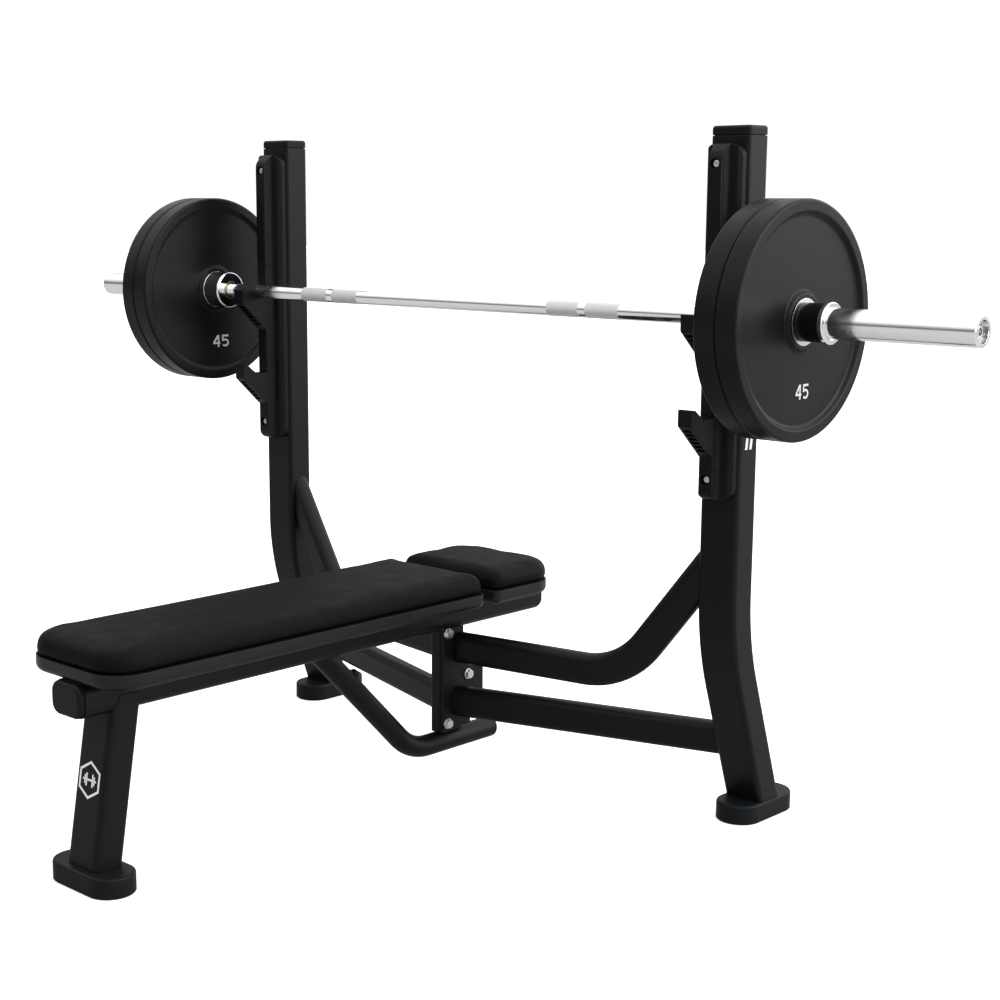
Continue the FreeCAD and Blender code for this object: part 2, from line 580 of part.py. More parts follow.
# ---------------------------------------------------------------- centre post and bolted joint plates
holes = [(-28.5, 288.0), (30.0, 195.5), (-28.5, 104.0)]
sw = D["spine_w"]
depth = D["spine_back"] - D["spine_front"]
post = prism("centre_post_tube", "XY_Plane", sw, depth, 7.0, "Params.spine_w", "Params.spine_back-Params.spine_front",
             "Params.tube_wall+4", D["beam_bottom"] - D["spine_bottom"], "Params.beam_bottom-Params.spine_bottom", wall=wl)
place(post, "0", "Params.bar_y+(Params.spine_front+Params.spine_back)/2", "Params.spine_bottom")
drills = [cylinder("post_drill_%d" % k, D["bolt_dia"] / 2 + 0.3, 24, V(0, by(holes[k][0]), holes[k][1]), V(1, 0, 0), "Params.bolt_dia/2+0.3")
          for k in (0, 2)]
keep(cut("centre_post_cut", post, fuse("post_drills", drills)), "centre_post")
pt = D["joint_plate_w"]
for side, s in SIDES:
    b = new_body("joint_plate_" + side)
    sk = new_sketch(b, "YZ_Plane", "joint_plate_outline_" + side)
    front = -39.0 if s > 0 else -26.0
    joint_holes = holes if s > 0 else holes[1:2]
    draw(sk, [(front, 91.0, 6), (38.0, 91.0, 6), (38.0, 135.0, 6), (75.0, 147.0, 6), (75.0, 211.0, 9), (38.0, 211.0, 6),
              (17.0, 229.0, 6), (17.0, 298.5), (front, 298.5)])
    for k, (y, z) in enumerate(joint_holes):
        circle(sk, D["bolt_dia"] / 2 + 0.3, "Params.bolt_dia/2+0.3", y, z)
    pad(b, sk, "joint_plate_run_" + side, pt, "Params.joint_plate_w", back=(s < 0))
    place(b, "%d*(Params.spine_w/2+0.1)" % s, "Params.bar_y", "0")
    keep(b, side + "_joint_plate")

bolts, nuts = [], []
grip = sw / 2 + 0.1 + pt
for k, (y, z) in enumerate(holes):
    # the outer two run into nuts welded inside the post, the middle one runs through both plates
    through = k == 1
    tail = -grip - 12.0 if through else 1.0
    nut_face = -grip - 0.1 if through else sw / 2 - wl - 1.7
    nut_size = 0.86 if through else 0.74
    c = V(grip + 0.1, by(y), z)
    head = doc.addObject("Part::Prism", "bolt_hex_%d" % k)
    head.Polygon, head.Circumradius, head.Height = 6, 9.2, 6.4
    head.setExpression("Circumradius", "Params.bolt_dia*0.92")
    head.Placement = FreeCAD.Placement(c + V(1.8, 0, 0), FreeCAD.Rotation(V(0, 0, 1), V(1, 0, 0)))
    collar = cylinder("bolt_flange_%d" % k, 10.5, 2.0, c, V(1, 0, 0), "Params.bolt_dia*1.05")
    shank = cylinder("bolt_shank_%d" % k, D["bolt_dia"] / 2, c.x + 1.0 - tail, V(tail, by(y), z), V(1, 0, 0), "Params.bolt_dia/2")
    bolts.append(fuse("bolt_%d" % k, [head, collar, shank]))
    nh = doc.addObject("Part::Prism", "nut_hex_%d" % k)
    nh.Polygon, nh.Circumradius, nh.Height = 6, nut_size * D["bolt_dia"], 8.0
    nh.setExpression("Circumradius", "Params.bolt_dia*%g" % nut_size)
    nh.Placement = FreeCAD.Placement(V(nut_face - 8.0, by(y), z), FreeCAD.Rotation(V(0, 0, 1), V(1, 0, 0)))
    bore = cylinder("nut_bore_%d" % k, D["bolt_dia"] / 2 + 0.05, 12, V(nut_face - 10, by(y), z), V(1, 0, 0), "Params.bolt_dia/2+0.05")
    nuts.append(cut("nut_%d" % k, nh, bore))
keep(group("joint_bolt_set", bolts), "joint_bolts")
keep(group("joint_nut_set", nuts), "joint_nuts")

# ---------------------------------------------------------------- cross tubes between the centre post and the uprights
ch, cd, cr = D["cross_h"], D["cross_d"], D["cross_round"]
x0 = grip
x1 = D["post_x"] - tw / 2


def cross_section(sk):
    rounded_rect(sk, cd, ch, cr, "Params.cross_d", "Params.cross_h", "Params.cross_round")
    rounded_rect(sk, cd - 2 * wl, ch - 2 * wl, cr - wl, "Params.cross_d-2*Params.tube_wall",
                 "Params.cross_h-2*Params.tube_wall", "Params.cross_round-Params.tube_wall")


for side, s in SIDES:
    ax, ay, ex, ey = x0, 3.0, x1, 168.0
    phi = math.degrees(math.atan2(ey - ay, ex - ax))
    run = math.hypot(ex - ax, ey - ay)
    b = prism("low_cross_" + side, "YZ_Plane", cd, ch, cr, "Params.cross_d", "Params.cross_h", "Params.cross_round",
              2 * run + 120, "%.4f+Params.cross_d*3" % (2 * run + 12), wall=wl, both=True)
    turn = phi if s > 0 else 180 - phi
    place(b, "%.4f" % (s * (ax + ex) / 2), "Params.bar_y+%.4f" % ((ay + ey) / 2), "Params.low_cross_z",
          FreeCAD.Rotation(V(0, 0, 1), turn))
    limit = box("low_cross_span_" + side, ex - ax, 700, 400, ax if s > 0 else -ex, by(-200), 0)
    keep(common("low_cross_fit_" + side, b, limit), side + "_lower_cross_tube")

    ay, ey = 6.0, 95.0
    phi = math.atan2(ey - ay, ex - ax)
    bend_s = (D["high_bend_x"] - ax) / math.cos(phi)
    rise = math.radians(D["high_rise"])
    up = 430.0
    spine = bend(V(-25, 0, 0), V(bend_s, 0, 0), V(bend_s + math.cos(rise) * up, math.sin(rise) * up, 0), D["high_bend_r"])
    b = new_body("high_cross_" + side)
    sk = new_sketch(b, "YZ_Plane", "high_cross_section_" + side, -25)
    cross_section(sk)
    sp = new_sketch(b, "XZ_Plane", "high_cross_centreline_" + side)
    join(sp, [sp.addGeometry(g, False) for g in spine], False)
    doc.recompute()
    f = b.newObject("PartDesign::AdditivePipe", "high_cross_swept_" + side)
    f.Profile = (sk, [""])
    f.Spine = (sp, ["Edge1", "Edge2", "Edge3"])
    turn = math.degrees(phi) if s > 0 else 180 - math.degrees(phi)
    place(b, "%.4f" % (s * ax), "Params.bar_y+%.4f" % ay, "Params.high_cross_z", FreeCAD.Rotation(V(0, 0, 1), turn))
    limit = box("high_cross_span_" + side, ex - ax, 700, 700, ax if s > 0 else -ex, by(-200), 0)
    keep(common("high_cross_fit_" + side, b, limit), side + "_upper_cross_tube")


# ---------------------------------------------------------------- upholstered pads on their boards and trays
def pad_outline(width, front, rear, front_r, rear_r):
    a = width / 2.0
    return [(-a, front, front_r), (a, front, front_r), (a, rear, rear_r), (-a, rear, rear_r)]


def pad_piece(name, label, width, front, rear, fr, rr, z, h, h_expr, edge=0.0, edge_expr="", top=True, hollow=None):
    b = new_body(name)
    sk = new_sketch(b, "XY_Plane", name + "_outline")
    draw(sk, pad_outline(width, front, rear, fr, rr))
    pad(b, sk, name + "_thick", h, h_expr)
    if edge:
        edge_soften(b, name + "_edge", at_z(h if top else 0.0), edge, edge_expr)
    if hollow:
        sk = new_sketch(b, "XY_Plane", name + "_inside", h)
        w = hollow
        draw(sk, pad_outline(width - 2 * w, front + w, rear - w, max(fr - w, 1), max(rr - w, 1)))
        pocket(b, sk, name + "_hollow", h - w, "%s-Params.tray_wall" % h_expr)
    place(b, "0", "Params.bar_y", z)
    keep(b, label)


pw = D["pad_w"]
tray_h = D["pad_bottom"] - D["tray_bottom"]
pad_piece("main_cushion", "main_pad_cushion", pw, D["pad_front"], D["pad_rear"], D["pad_corner"], 22.0,
          "Params.pad_bottom", D["pad_h"], "Params.pad_h", D["pad_edge"], "Params.pad_edge")
pad_piece("head_cushion", "head_pad_cushion", pw, D["head_front"], D["head_rear"], 16.0, D["head_corner"],
          "Params.pad_bottom", D["pad_h"], "Params.pad_h", 15.0, "Params.pad_edge-2")
pad_piece("main_tray", "main_pad_tray", pw + 5, D["pad_front"] - 2, D["pad_rear"] + 1.5, D["pad_corner"] + 2, 20.0,
          "Params.tray_bottom", tray_h, "Params.pad_bottom-Params.tray_bottom", D["tray_round"], "Params.tray_round",
          top=False, hollow=D["tray_wall"])
pad_piece("head_tray", "head_pad_tray", pw + 5, D["head_front"] - 1.5, D["head_rear"] + 1.5, 13.0, D["head_corner"] + 1,
          "Params.tray_bottom", tray_h, "Params.pad_bottom-Params.tray_bottom", D["tray_round"], "Params.tray_round",
          top=False, hollow=D["tray_wall"])
pad_piece("main_board", "main_pad_board", pw - 6, D["pad_front"] + 3.5, D["pad_rear"] - 4, D["pad_corner"] - 3.5, 20.0,
          "Params.pad_bottom-Params.board_h", D["board_h"], "Params.board_h")
pad_piece("head_board", "head_pad_board", pw - 6, D["head_front"] + 4, D["head_rear"] - 4, 12.0, D["head_corner"] - 4,
          "Params.pad_bottom-Params.board_h", D["board_h"], "Params.board_h")

# round-head bolts that hold the trays' boards down, standing inside the trays
pad_bolts = []
for k, y in enumerate((-820.0, -560.0, -300.0, -90.0, 50.0, 140.0)):
    for j, x in enumerate((-60.0, 60.0)):
        t = "%d_%d" % (k, j)
        seat = cylinder("pad_nut_flange_" + t, 11.0, 2.0, V(x, by(y), D["pad_bottom"] - D["board_h"] - 2.0), V(0, 0, 1))
        pad_bolts.append(seat)
keep(group("pad_washer_set", pad_bolts), "pad_fixing_washers")

# ---------------------------------------------------------------- barbell
hb, bz = D["bar_half"], D["bar_z"]
sr, shr = D["sleeve_dia"] / 2, D["shaft_dia"] / 2
fx, fw, fr_ = D["flange_x"], D["flange_w"], D["flange_dia"] / 2
sb = D["sleeve_bore"] / 2


def on_bar(obj, side_sign=1, x="0"):
    """Lays a turned piece on the barbell's axis; the left-hand one is turned end for end."""
    place(obj, x, "Params.bar_y", "Params.bar_z", FreeCAD.Rotation(V(0, 0, 1), 0 if side_sign > 0 else 180))


L = D["shaft_half"]
b = new_body("shaft")
sk = new_sketch(b, "YZ_Plane", "shaft_round")
circle(sk, shr, "Params.shaft_dia/2")
pad(b, sk, "shaft_run", 2 * L, "2*Params.shaft_half", both=True)
edge_soften(b, "shaft_ends", lambda e: e.BoundBox.XLength < 1e-4, 1.5, "Params.shaft_dia/20", "Chamfer")
on_bar(b)
keep(b, "bar_shaft")

for side, s in SIDES:
    b = revolve("sleeve_" + side, [(fx, sb), (fx, fr_, 4.0), (fx + fw, fr_, 2.5), (fx + fw, sr), (hb, sr, 2.5), (hb, sb)])
    on_bar(b, s)
    keep(b, side + "_sleeve")

    gap = D["bush_wall_gap"]
    c1 = revolve("bush_in_" + side, [(fx + 4, shr + gap), (fx + 44, shr + gap), (fx + 44, sb), (fx + 4, sb)])
    c2 = revolve("bush_out_" + side, [(hb - 70, shr + gap), (hb - 30, shr + gap), (hb - 30, sb), (hb - 70, sb)])
    on_bar(c1, s)
    on_bar(c2, s)
    keep(group("bushings_" + side, [c1, c2]), side + "_sleeve_bushings")

    # end bolt: a stepped washer head on the shaft's end with a hexagon socket, inside the sleeve's mouth
    c = revolve("end_bolt_blank_" + side, [(L + 0.1, 0), (hb - 5.0, 0), (hb - 5.0, 9.5, 1.5), (hb - 12.0, 9.5), (hb - 12.0, 17.2, 1.0), (L + 0.1, 17.2)])
    on_bar(c, s)
    hexa = doc.addObject("Part::Prism", "end_bolt_socket_" + side)
    hexa.Polygon, hexa.Circumradius, hexa.Height = 6, 6.9, 9.0
    hexa.Placement = FreeCAD.Placement(V(s * (hb - 13.0) - (9.0 if s < 0 else 0), by(0), bz), FreeCAD.Rotation(V(0, 0, 1), V(1, 0, 0)))
    keep(cut("end_bolt_" + side, c, hexa), side + "_end_bolt")

    # two coated plates per side: an iron core with a machined hub, and the moulded coat around it
    pr, pw_, hr, cr_, cw = D["plate_dia"] / 2, D["plate_w"], D["hub_dia"] / 2, D["core_dia"] / 2, D["core_w"]
    m = pw_ / 2
    g = 0.1
    for which, k in (("inner", 0), ("outer", 1)):
        xp = "%d*(Params.flange_x+Params.flange_w+Params.plate_gap+%d*(Params.plate_w+Params.plate_gap))" % (s, k)
        coat = revolve("coat_%s_%s" % (which, side), [
            (0, hr + g), (0, 46.0, 2.0), (6.5, 51.0, 5.0), (7.5, 171.0, 6.0), (0, 177.0, 1.5), (0, pr, 5.0), (pw_, pr, 5.0),
            (pw_, 177.0, 1.5), (pw_ - 7.5, 171.0, 6.0), (pw_ - 6.5, 51.0, 5.0), (pw_, 46.0, 2.0), (pw_, hr + g),
            (m + cw / 2 + g, hr + g), (m + cw / 2 + g, cr_ + g), (m - cw / 2 - g, cr_ + g), (m - cw / 2 - g, hr + g)])
        on_bar(coat, s, xp)
        keep(coat, "%s_%s_plate" % (side, which))
        core = revolve("core_%s_%s" % (which, side), [
            (0, D["hub_bore"] / 2, 1.5), (0, hr), (m - cw / 2, hr), (m - cw / 2, cr_), (m + cw / 2, cr_), (m + cw / 2, hr),
            (pw_, hr), (pw_, D["hub_bore"] / 2, 1.5)])
        on_bar(core, s, xp)
        keep(core, "%s_%s_plate_core" % (side, which))

    cx = "%d*(Params.flange_x+Params.flange_w+3*Params.plate_gap+2*Params.plate_w)" % s
    cl, crd, crr = D["collar_len"], D["collar_dia"] / 2, D["collar_ring_dia"] / 2
    c = revolve("collar_" + side, [(0, D["collar_bore"] / 2, 1.0), (0, crd, 1.5), (cl, crd), (cl, D["collar_bore"] / 2)])
    on_bar(c, s, cx)
    keep(c, side + "_collar")
    c = revolve("collar_ring_" + side, [(cl + 0.1, D["collar_bore"] / 2), (cl + 0.1, crr, 1.5), (cl + D["collar_ring_w"], crr, 2.0),
                                        (cl + D["collar_ring_w"], D["collar_bore"] / 2, 2.0)])
    on_bar(c, s, cx)
    keep(c, side + "_collar_ring")

# ---------------------------------------------------------------- check and write
doc.recompute()
bad = [o.Name for o in doc.Objects if ("Invalid" in o.State or "Error" in o.State)]
for o in NODES:
    if not hasattr(o, "Shape") or o.Shape.isNull() or not o.Shape.isValid() or not o.Shape.Solids:
        bad.append("shape of " + o.Label)
if bad:
    print("FAILED:", bad)
    sys.exit(1)
labels = [o.Label for o in NODES]
if len(set(labels)) != len(labels) or len(labels) > 60:
    print("FAILED: labels", len(labels))
    sys.exit(1)
os.makedirs("parts", exist_ok=True)
for o in NODES:
    o.Shape.exportStep("parts/%s.step" % o.Label)
total = Part.makeCompound([o.Shape for o in NODES]).BoundBox
print("nodes", len(NODES), "box X %.1f..%.1f Y %.1f..%.1f Z %.1f..%.1f" % (total.XMin, total.XMax, total.YMin, total.YMax, total.ZMin, total.ZMax))
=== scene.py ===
import json
import math

import bpy
import bmesh
from mathutils import Vector, Matrix, Euler


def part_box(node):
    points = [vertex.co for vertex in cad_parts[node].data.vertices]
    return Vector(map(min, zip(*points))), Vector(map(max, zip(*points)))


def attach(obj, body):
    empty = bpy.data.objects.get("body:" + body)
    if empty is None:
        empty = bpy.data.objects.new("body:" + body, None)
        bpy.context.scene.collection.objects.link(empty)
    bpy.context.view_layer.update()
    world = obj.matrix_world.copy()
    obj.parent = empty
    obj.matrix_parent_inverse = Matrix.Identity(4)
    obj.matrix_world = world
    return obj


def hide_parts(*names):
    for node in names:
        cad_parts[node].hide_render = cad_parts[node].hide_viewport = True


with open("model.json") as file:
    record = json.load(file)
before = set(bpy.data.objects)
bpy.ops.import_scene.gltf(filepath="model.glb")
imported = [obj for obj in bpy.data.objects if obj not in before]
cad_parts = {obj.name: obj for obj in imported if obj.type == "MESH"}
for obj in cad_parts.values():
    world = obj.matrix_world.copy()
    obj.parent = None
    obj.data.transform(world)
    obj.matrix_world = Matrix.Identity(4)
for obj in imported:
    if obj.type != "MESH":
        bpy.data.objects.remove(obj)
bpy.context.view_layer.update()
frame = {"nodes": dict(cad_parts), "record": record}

nodes = frame["nodes"]


# ------------------------------------------------------------------ material helpers
class Mat:
    def __init__(self, name):
        self.m = bpy.data.materials.new(name)
        self.m.use_nodes = True
        self.t = self.m.node_tree
        self.t.nodes.clear()
        self.out = self.n("ShaderNodeOutputMaterial")
        self.p = self.n("ShaderNodeBsdfPrincipled")
        self.t.links.new(self.p.outputs[0], self.out.inputs[0])
        self.geo = self.n("ShaderNodeNewGeometry")
        self.tex = self.n("ShaderNodeTexCoord")

    def n(self, kind, **props):
        node = self.t.nodes.new(kind)
        for k, v in props.items():
            setattr(node, k, v)
        return node

    def link(self, a, b):
        self.t.links.new(a, b)
        return self

    def pos(self):
        return self.tex.outputs["Object"]

    def noise(self, scale, detail=4.0, rough=0.55, vec=None, out="Fac"):
        n = self.n("ShaderNodeTexNoise")
        n.inputs["Scale"].default_value = scale
        n.inputs["Detail"].default_value = detail
        n.inputs["Roughness"].default_value = rough
        self.link(vec or self.pos(), n.inputs["Vector"])
        return n.outputs[out]

    def voronoi(self, scale, feature="F1", out="Distance", vec=None, rnd=1.0):
        n = self.n("ShaderNodeTexVoronoi", feature=feature)
        n.inputs["Scale"].default_value = scale
        if "Randomness" in n.inputs:
            n.inputs["Randomness"].default_value = rnd
        self.link(vec or self.pos(), n.inputs["Vector"])
        return n.outputs[out]

    def math(self, op, a, b=0.5, c=None, clamp=False):
        n = self.n("ShaderNodeMath", operation=op, use_clamp=clamp)
        for i, v in enumerate((a, b, c)):
            if v is None:
                continue
            if isinstance(v, (int, float)):
                n.inputs[i].default_value = v
            else:
                self.link(v, n.inputs[i])
        return n.outputs[0]

    def remap(self, v, a, b, c, d):
        n = self.n("ShaderNodeMapRange")
        self.link(v, n.inputs[0])
        for i, x in enumerate((a, b, c, d)):
            n.inputs[i + 1].default_value = x
        return n.outputs[0]

    def mix(self, fac, a, b):
        n = self.n("ShaderNodeMix", data_type="RGBA")
        if isinstance(fac, (int, float)):
            n.inputs[0].default_value = fac
        else:
            self.link(fac, n.inputs[0])
        for i, v in ((6, a), (7, b)):
            if isinstance(v, (tuple, list)):
                n.inputs[i].default_value = (v[0], v[1], v[2], 1)
            else:
                self.link(v, n.inputs[i])
        return n.outputs[2]

    def bump(self, height, strength, distance, normal=None):
        n = self.n("ShaderNodeBump")
        n.inputs["Strength"].default_value = strength
        n.inputs["Distance"].default_value = distance
        self.link(height, n.inputs["Height"])
        if normal:
            self.link(normal, n.inputs["Normal"])
        return n.outputs[0]

    def edges(self, radius):
        """0 on flat faces, up to 1 where the surface turns within the radius."""
        b = self.n("ShaderNodeBevel", samples=6)
        b.inputs["Radius"].default_value = radius
        d = self.n("ShaderNodeVectorMath", operation="DOT_PRODUCT")
        self.link(b.outputs[0], d.inputs[0])
        self.link(self.geo.outputs["Normal"], d.inputs[1])
        return self.remap(d.outputs["Value"], 0.995, 0.86, 0.0, 1.0), b.outputs[0]

    def xyz(self):
        n = self.n("ShaderNodeSeparateXYZ")
        self.link(self.pos(), n.inputs[0])
        return n.outputs

    def set(self, **kw):
        for k, v in kw.items():
            name = k.replace("_", " ")
            s = self.p.inputs[name]
            if isinstance(v, (int, float)):
                s.default_value = v
            elif isinstance(v, (tuple, list)):
                s.default_value = (v[0], v[1], v[2], 1)
            else:
                self.link(v, s)
        return self


def powder_coat(name, base, rough, spec, grain=1.0, lift=1.6):
    m = Mat(name)
    fine = m.noise(1500, 3, 0.6)
    broad = m.noise(9, 3)
    edge, bevel = m.edges(0.0022)
    # edges painted lighter with the lifted colour: partly edge wear, partly a painted highlight along the edges,
    # broken up by noise
    edge_wear_and_highlight = m.math("MULTIPLY", edge, m.remap(m.noise(60, 4), 0.42, 0.62, 0.15, 1.0))
    tone = m.mix(broad, tuple(c * 0.88 for c in base), tuple(c * 1.14 for c in base))
    tone = m.mix(m.math("MULTIPLY", edge_wear_and_highlight, 0.6), tone, tuple(min(1, c * lift + 0.008) for c in base))
    m.set(Base_Color=tone, Roughness=m.remap(fine, 0.3, 0.7, rough - 0.05, rough + 0.06), Specular_IOR_Level=spec)
    h = m.math("ADD", fine, m.math("MULTIPLY", m.noise(420, 2), 0.7))
    m.set(Normal=m.bump(h, 0.22 * grain, 0.0003, bevel))
    return m.m


def moulded(name, base, rough, spec, grain=700, depth=0.12, sheen=0.0):
    m = Mat(name)
    fine = m.voronoi(grain)
    cloud = m.noise(16, 4)
    edge, bevel = m.edges(0.0016)
    tone = m.mix(cloud, tuple(c * 0.9 for c in base), tuple(c * 1.12 for c in base))
    # painted highlight: edges within the bevel radius are mixed towards a lighter colour
    tone = m.mix(m.math("MULTIPLY", edge, 0.35), tone, tuple(min(1, c * 1.7 + 0.006) for c in base))
    m.set(Base_Color=tone, Roughness=m.remap(cloud, 0.3, 0.7, rough - 0.05, rough + 0.05), Specular_IOR_Level=spec)
    m.set(Normal=m.bump(fine, depth, 0.0003, bevel))
    return m.m


def vinyl(name, base):
    m = Mat(name)
    cells = m.voronoi(620, "DISTANCE_TO_EDGE")
    groove = m.remap(cells, 0.0, 0.14, 0.0, 1.0)
    pores = m.noise(2400, 2, 0.6)
    folds = m.noise(26, 4, 0.6)
    broad = m.noise(5, 2)
    # painted shade: the grain's grooves are darkened to 0.55 of the base colour
    tone = m.mix(groove, tuple(c * 0.55 for c in base), base)
    tone = m.mix(m.math("MULTIPLY", broad, 0.5), tone, tuple(c * 1.5 for c in base))
    m.set(Base_Color=tone, Roughness=m.remap(folds, 0.3, 0.7, 0.46, 0.58), Specular_IOR_Level=0.055)
    h = m.math("ADD", groove, m.math("MULTIPLY", pores, 0.35))
    n1 = m.bump(folds, 0.05, 0.0012)
    m.set(Normal=m.bump(h, 0.28, 0.0003, n1))
    return m.m


def chrome(name, base=(0.93, 0.935, 0.945), rough=0.13, bands=None):
    m = Mat(name)
    smear = m.noise(40, 4)
    fine = m.noise(900, 2)
    edge, bevel = m.edges(0.0008)
    r = m.remap(smear, 0.35, 0.7, rough * 0.7, rough * 1.5)
    col = m.mix(m.math("MULTIPLY", smear, 0.3), base, tuple(c * 0.93 for c in base))
    m.set(Metallic=1.0)
    normal = m.bump(fine, 0.02, 0.0002, bevel)
    if bands:
        x, y, z = m.xyz()
        ax = m.math("ABSOLUTE", x)
        mask = None
        for a, b in bands:
            k = m.math("MULTIPLY", m.math("GREATER_THAN", ax, a), m.math("LESS_THAN", ax, b))
            mask = k if mask is None else m.math("ADD", mask, k, clamp=True)
        ang = m.math("ARCTAN2", m.math("SUBTRACT", z, BAR_Z), m.math("SUBTRACT", y, BAR_Y))
        u = m.math("MULTIPLY", ang, 0.0145 * 2 * math.pi / 0.0014)
        v = m.math("MULTIPLY", x, 2 * math.pi / 0.0014)
        d1 = m.math("SINE", m.math("ADD", u, v))
        d2 = m.math("SINE", m.math("SUBTRACT", u, v))
        dia = m.math("MULTIPLY", m.math("MAXIMUM", d1, d2), mask)
        normal = m.bump(dia, 0.6, 0.0004, normal)
        n = m.n("ShaderNodeMix", data_type="FLOAT")
        m.link(mask, n.inputs[0])
        m.link(r, n.inputs[2])
        n.inputs[3].default_value = 0.5
        r = n.outputs[0]
        col = m.mix(mask, col, (0.72, 0.725, 0.74))
    m.set(Base_Color=col, Roughness=r, Normal=normal)
    return m.m


def turned_metal(name, base, rough):
    m = Mat(name)
    x, y, z = m.xyz()
    dy = m.math("SUBTRACT", y, BAR_Y)
    dz = m.math("SUBTRACT", z, BAR_Z)
    rad = m.math("SQRT", m.math("ADD", m.math("MULTIPLY", dy, dy), m.math("MULTIPLY", dz, dz)))
    rings = m.math("SINE", m.math("MULTIPLY", rad, 9000.0))
    smear = m.noise(60, 4)
    edge, bevel = m.edges(0.0008)
    m.set(Metallic=1.0, Base_Color=m.mix(smear, base, tuple(c * 0.85 for c in base)),
          Roughness=m.remap(smear, 0.3, 0.7, rough * 0.8, rough * 1.3))
    m.set(Normal=m.bump(rings, 0.06, 0.0001, bevel))
    return m.m


def zinc(name):
    m = Mat(name)
    cloud = m.noise(300, 3)
    edge, bevel = m.edges(0.0008)
    m.set(Metallic=1.0, Base_Color=m.mix(cloud, (0.55, 0.56, 0.57), (0.78, 0.78, 0.79)),
          Roughness=m.remap(cloud, 0.3, 0.7, 0.2, 0.36))
    m.set(Normal=m.bump(m.noise(2500, 2), 0.08, 0.0001, bevel))
    return m.m


def plywood(name):
    m = Mat(name)
    x, y, z = m.xyz()
    v = m.n("ShaderNodeCombineXYZ")
    m.link(m.math("MULTIPLY", x, 40.0), v.inputs[0])
    m.link(m.math("MULTIPLY", y, 4.0), v.inputs[1])
    m.link(m.math("MULTIPLY", z, 40.0), v.inputs[2])
    grain = m.noise(2.0, 8, 0.65, v.outputs[0])
    plies = m.math("SINE", m.math("MULTIPLY", z, 2 * math.pi / 0.003))
    tone = m.mix(grain, (0.45, 0.31, 0.18), (0.62, 0.46, 0.29))
    tone = m.mix(m.remap(plies, -1, 1, 0.0, 0.35), tone, (0.33, 0.21, 0.12))
    # the cover is drawn round the board, so only the underside shows bare wood
    under = m.math("LESS_THAN", m.n("ShaderNodeSeparateXYZ").outputs[2], -0.5)
    m.link(m.geo.outputs["Normal"], under.node.inputs[0].links[0].from_node.inputs[0])
    tone = m.mix(under, (0.0035, 0.0035, 0.0038), tone)
    m.set(Base_Color=tone, Roughness=0.65, Specular_IOR_Level=0.15, Normal=m.bump(grain, 0.15, 0.0004))
    return m.m


def enamel(name, base):
    m = Mat(name)
    m.set(Base_Color=m.mix(m.noise(220, 3), base, tuple(c * 0.9 for c in base)), Roughness=m.remap(m.noise(90, 3), 0.3, 0.7, 0.4, 0.5))
    m.set(Normal=m.bump(m.noise(1600, 2), 0.05, 0.0002))
    return m.m


lo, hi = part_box("bar_shaft")
BAR_Y, BAR_Z = (lo.y + hi.y) / 2, (lo.z + hi.z) / 2

M = {
    "frame_paint": powder_coat("frame_paint", (0.0036, 0.0037, 0.0040), 0.40, 0.165),
    "guard_plastic": moulded("guard_plastic", (0.0036, 0.0042, 0.0049), 0.40, 0.115, 900, 0.10),
    "foot_rubber": moulded("foot_rubber", (0.0050, 0.0062, 0.0074), 0.46, 0.12, 520, 0.16),
    "cap_plastic": moulded("cap_plastic", (0.0048, 0.0054, 0.0062), 0.42, 0.12, 900, 0.08),
    "cushion_cover": vinyl("cushion_cover", (0.0030, 0.0030, 0.0032)),
    "board_wood": plywood("board_wood"),
    "tray_plastic": moulded("tray_plastic", (0.0080, 0.0086, 0.0096), 0.36, 0.21, 1000, 0.07),
    "bar_chrome": chrome("bar_chrome", bands=((0.2515, 0.3250), (0.3420, 0.4165))),
    "bushing_bronze": turned_metal("bushing_bronze", (0.62, 0.42, 0.2), 0.28),
    "plate_rubber": moulded("plate_rubber", (0.0042, 0.0047, 0.0055), 0.36, 0.14, 1300, 0.05),
    "plate_core": turned_metal("plate_core", (0.86, 0.865, 0.87), 0.12),
    "collar_body": powder_coat("collar_body", (0.0035, 0.0037, 0.004), 0.3, 0.2, 0.3),
    "collar_trim": chrome("collar_trim", rough=0.06),
    "fastener": zinc("fastener"),
    "numeral_paint": enamel("numeral_paint", (0.62, 0.64, 0.66)),
    "badge_paint": enamel("badge_paint", (0.88, 0.88, 0.88)),
}
slots = {e["node"]: e["material_slot"] for e in frame["record"]["subparts"]}
for name, o in nodes.items():
    o.data.materials.clear()
    o.data.materials.append(M[slots[name]])
    for p in o.data.polygons:
        p.use_smooth = True
    try:
        o.data.set_sharp_from_angle(angle=math.radians(28))
    except AttributeError:
        pass

coll = bpy.context.scene.collection


